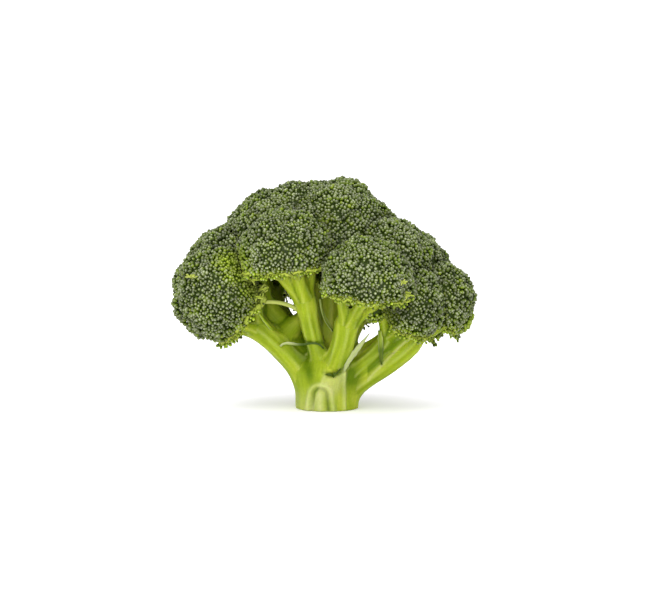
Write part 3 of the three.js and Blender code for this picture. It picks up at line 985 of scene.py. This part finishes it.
def add_stems(floret):
    """The fine stems that spread from the branchlets to the buds, seen from below and at the rim."""
    stems = Stems()
    lines = twig_lines(floret)
    ends = np.array([end for _, end in lines])

    def grow(target, tip, radius, sag):
        """A stem from the nearest branchlet, sagging before it turns up to its tip."""
        start, end = lines[np.linalg.norm(ends - target, axis=1).argmin()]
        share = random.uniform(0.45, 0.7)
        root = start + (end - start) * share
        bend = start + (end - start) * (share + 0.2) + 0.3 * (target - root) - sag * floret.axis
        path = bezier([root, bend, tip], 6)
        stems.add(path, radius, 5, random.uniform(0, 0.35), random.uniform(0, 0.25))

    wide = floret.radius * math.sqrt(1 - floret.under**2) * STEM_FIELD
    count = round(math.pi * wide**2 / STEM_PITCH**2)
    middle = floret.centre - floret.under * floret.radius * floret.axis
    for n in range(count):
        radius = wide * math.sqrt((n + 0.5) / count)
        turn = n * GOLDEN_ANGLE
        target = middle + radius * (floret.side * math.cos(turn) + floret.across * math.sin(turn))
        toward = unit(target - floret.centre)[None]
        if np.linalg.norm(target - floret.centre) < floret.neighbours(toward)[0]:
            grow(target, target + floret.axis * random.uniform(1.0, 2.5), random.uniform(0.9, 1.4), 0)

    rim, outward, shows = floret.rim(BAND_STEP)
    for run in runs(shows):
        scatter = random.normal(0, BAND_SCATTER, (len(run), 3))
        band = rim[run] - 1.2 * outward[run] - 1.0 * floret.axis + scatter
        stems.add(band, floret.band * random.uniform(0.8, 1.4, len(run)), 7, 0.2, 0.15, (1, 1))
    rim, outward, shows = floret.rim(FRINGE_STEP)
    for place, out in zip(rim[shows], outward[shows]):
        tip = place - random.uniform(0.8, 2.2) * out + random.uniform(-0.6, 0.8) * floret.axis
        grow(place, tip, random.uniform(0.7, 1.0), random.uniform(1.0, 3.0))
    for bud, foot in zip(*floret.hanging):
        middle = (bud + foot) / 2 - 0.4 * floret.axis
        stems.add(bezier([foot, middle, bud], 4), HANGING_RADIUS, 4, 0.2)
    for place in TUFTS.get(floret.name, ()):
        add_tuft(stems, floret, place)
    stems.finish("stems_" + floret.name)


def add_tuft(stems, floret, place):
    """A tuft of bare yellow-green stalklets among the buds."""
    direction = unit(place - floret.centre)
    foot = floret.centre + direction * (floret.dome(direction[None])[0] - 2)
    for _ in range(TUFT_STEMS):
        lean = random.normal(0, 1, 3) * [1.0, 0.4, 0.6]
        start = foot + random.normal(0, 1.2, 3)
        tip = foot + direction * random.uniform(2.4, 3.8) + 1.8 * lean
        middle = (start + tip) / 2 + direction * 1.2
        stems.add(bezier([start, middle, tip], 5), 0.5, 5, random.uniform(0.1, 0.5), 0, (1.2, 0.8))


def add_stray_stem():
    """A thin pale stem bowed across the left fork."""
    stems = Stems()
    stems.add(bezier(STRAY_STEM, 14), 1.1, 8, 0.55, 0, (0.9, 1.2))
    stems.finish("stray_stem")


LEAF_TIP = 0.12  # a scrap's width at its tip, in full widths
LEAF_ROOT = 0.3  # where on its outline it starts: 0 as a point, 0.5 at its widest
LEAF_THICKNESS = 0.6

# Each scrap of leaf: its spine, which way its width runs, its width, how far its edges bend back, how
# pale it is and how deep a green is painted past its root, which in the forks is painted shade
LEAVES = {
    "front": dict(
        spine=[(9, -16, 20.5), (11, -20, 29), (17, -23, 35), (23, -24.5, 43.5)],
        across=(0.8, 0.35, -0.6), width=3.1, cup=0.4, pale_and_highlight=0.6, root=0.04,
    ),
    "left_fork": dict(
        spine=[(-25, -15, 35.6), (-21, -17, 41), (-14, -16, 30), (-8, -21, 43), (-2, -18, 34.5)],
        across=(0, 0.9, -0.45), width=2.8, cup=0.4, pale_and_highlight=0.5, deep_green_and_shade=0.9,
    ),
    "front_fork": dict(
        spine=[(3.6, -15, 20.8), (3.6, -18, 20.2), (3.6, -20.3, 19.2)],
        across=(1, 0, 0.32), width=9.5, cup=2.2, deep_green_and_shade=0.85,
    ),
    "middle": dict(
        spine=[(3, -15, 44), (-3.5, -20, 52), (-4.2, -21, 62)],
        across=(0.5, 0.9, 0), width=2.6, cup=-0.6, pale_and_highlight=0.1,
    ),
    "right": dict(
        spine=[(28, -23, 45), (28.5, -25, 38), (29, -22, 31), (29.5, -13, 25)],
        across=(0.8, 0.6, 0), width=3.2, cup=0.8, pale_and_highlight=0.1, deep_green_and_shade=0.7,
    ),
    "left": dict(
        spine=[(-29, -14, 44), (-34, -20, 50), (-38.5, -22, 57)],
        across=(0.6, 0.6, 0.3), width=2.0, cup=0.5,
    ),
    "back": dict(
        spine=[(8, 16, 20), (12, 24, 30), (14, 29, 40)],
        across=(1, -0.4, 0), width=8, cup=-1.5, pale_and_highlight=0.4,
    ),
}


def add_leaf(name, spine, across, width, cup, pale_and_highlight=0, deep_green_and_shade=0, root=LEAF_ROOT):
    """A thin waved blade with two faces and a rounded edge."""
    rows, columns = 22, 11
    count = rows * columns
    centre = bezier(spine, rows)
    runs = unit(np.gradient(centre, axis=0))
    across = np.array(across, float)
    across = unit(across - runs * (runs @ across)[:, None])
    face = np.cross(runs, across)
    s = np.linspace(0, 1, rows)[:, None]  # along the spine
    v = np.linspace(-1, 1, columns)[None, :]  # from edge to edge
    outline = LEAF_TIP + (1 - LEAF_TIP) * np.sin(math.pi * (root + (1 - root) * s))
    phase = random.uniform(0, 6)
    wave = 0.05 * width * np.abs(v) ** 3 * np.sin(9 * s + 2 * v + phase)
    nibble = 1 + (0.06 * np.sin(23 * s + phase) + 0.12 * np.sin(41 * s)) * np.abs(v)
    aside = 0.5 * width * outline * v
    sheet = centre[:, None] + across[:, None] * (aside * nibble)[..., None]
    sheet = sheet + face[:, None] * (cup * v**2 + wave)[..., None]
    thick = 0.5 * LEAF_THICKNESS * (1 - 0.7 * v**2) * np.ones_like(s)
    front = sheet + face[:, None] * thick[..., None]
    back = sheet - face[:, None] * thick[..., None]
    points = np.concatenate([front.reshape(-1, 3), back.reshape(-1, 3)])

    index = np.arange(count).reshape(rows, columns)
    a, b, c, d = index[:-1, :-1], index[:-1, 1:], index[1:, 1:], index[1:, :-1]
    fronts = np.stack([a, d, c, b], axis=-1).reshape(-1, 4)
    backs = fronts[:, ::-1] + count
    loop = np.concatenate([index[0, :-1], index[:-1, -1], index[-1, :0:-1], index[:0:-1, 0]])
    following = np.roll(loop, -1)
    rim = np.stack([loop, following, following + count, loop + count], axis=1)

    def on_both(*channels):
        """Three values for each point of the front and of the back."""
        whole = [channel + np.zeros((rows, columns)) for channel in channels]
        return np.tile(np.stack(whole, axis=-1).reshape(-1, 3), (2, 1))

    tone = on_both((pale_and_highlight + 0.4 * np.abs(v) ** 4).clip(0, 1), deep_green_and_shade * step(s, 0.25, 0.5), 0)
    grain = on_both(aside, 0, 20 * s)
    faces = [fronts, backs, rim]
    piece = mesh_object("scrap_" + name, points, faces, LEAF, {"tone": tone}, {"grain": grain})
    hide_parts("leaf_" + name)


FLOOR_SIZE = 60
FLOOR_LOOK = {
    "Base Color": (0.97, 0.955, 0.995, 1), "Roughness": 1.0, "Specular IOR Level": 0.0,
    "Emission Color": (1, 1, 1, 1), "Emission Strength": 0.12,
}
LAMPS = {"key": ((-0.3, -0.55, 1.15), 9), "fill": ((-0.15, -1.6, 0.15), 22)}  # place and power
LAMP_SIZE = 1.2
LAMP_AIM = Vector((0, 0, 0.07))


def add_stage():
    """A white floor that glows faintly, and soft light from above, in front and all round."""
    bpy.ops.mesh.primitive_plane_add(size=FLOOR_SIZE)
    floor = bpy.context.object
    floor.name = "floor"
    paint = bpy.data.materials.new("floor_paint")
    paint.use_nodes = True
    shader = paint.node_tree.nodes["Principled BSDF"]
    for key, value in FLOOR_LOOK.items():
        shader.inputs[key].default_value = value
    floor.data.materials.append(paint)

    world = bpy.data.worlds.new("studio")
    world.use_nodes = True
    background = world.node_tree.nodes["Background"]
    background.inputs["Color"].default_value = (1, 1, 1, 1)
    background.inputs["Strength"].default_value = LIGHT
    bpy.context.scene.world = world
    bpy.context.scene.view_settings.view_transform = "Standard"

    for name, (place, power) in LAMPS.items():
        light = bpy.data.lights.new(name, "AREA")
        light.shape = "DISK"
        light.size = LAMP_SIZE
        light.energy = power
        holder = put(name, light)
        holder.location = place
        holder.rotation_euler = (LAMP_AIM - Vector(place)).to_track_quat("-Z", "Y").to_euler()


# The camera, as the photograph was taken: level with the head and a little above it
CAMERA_ELEVATION = math.radians(4)
CAMERA_DISTANCE = 1.2
CAMERA_AIM = Vector((-0.0011, 0, 0.0626))
CAMERA_LENS = 120.8
CAMERA_SENSOR = 36


def add_camera():
    """The camera in front of the head."""
    camera = bpy.data.cameras.new("camera")
    camera.lens = CAMERA_LENS
    camera.sensor_width = CAMERA_SENSOR
    holder = put("camera", camera)
    back = Vector((0, -math.cos(CAMERA_ELEVATION), math.sin(CAMERA_ELEVATION)))
    holder.location = CAMERA_AIM + CAMERA_DISTANCE * back
    holder.rotation_euler = (-back).to_track_quat("-Z", "Y").to_euler()
    bpy.context.scene.camera = holder


add_camera()
add_stage()
add_stalk()
for floret in FLORETS:
    add_floret(floret)
    add_stems(floret)
for name, leaf in LEAVES.items():
    add_leaf(name, **leaf)
add_stray_stem()
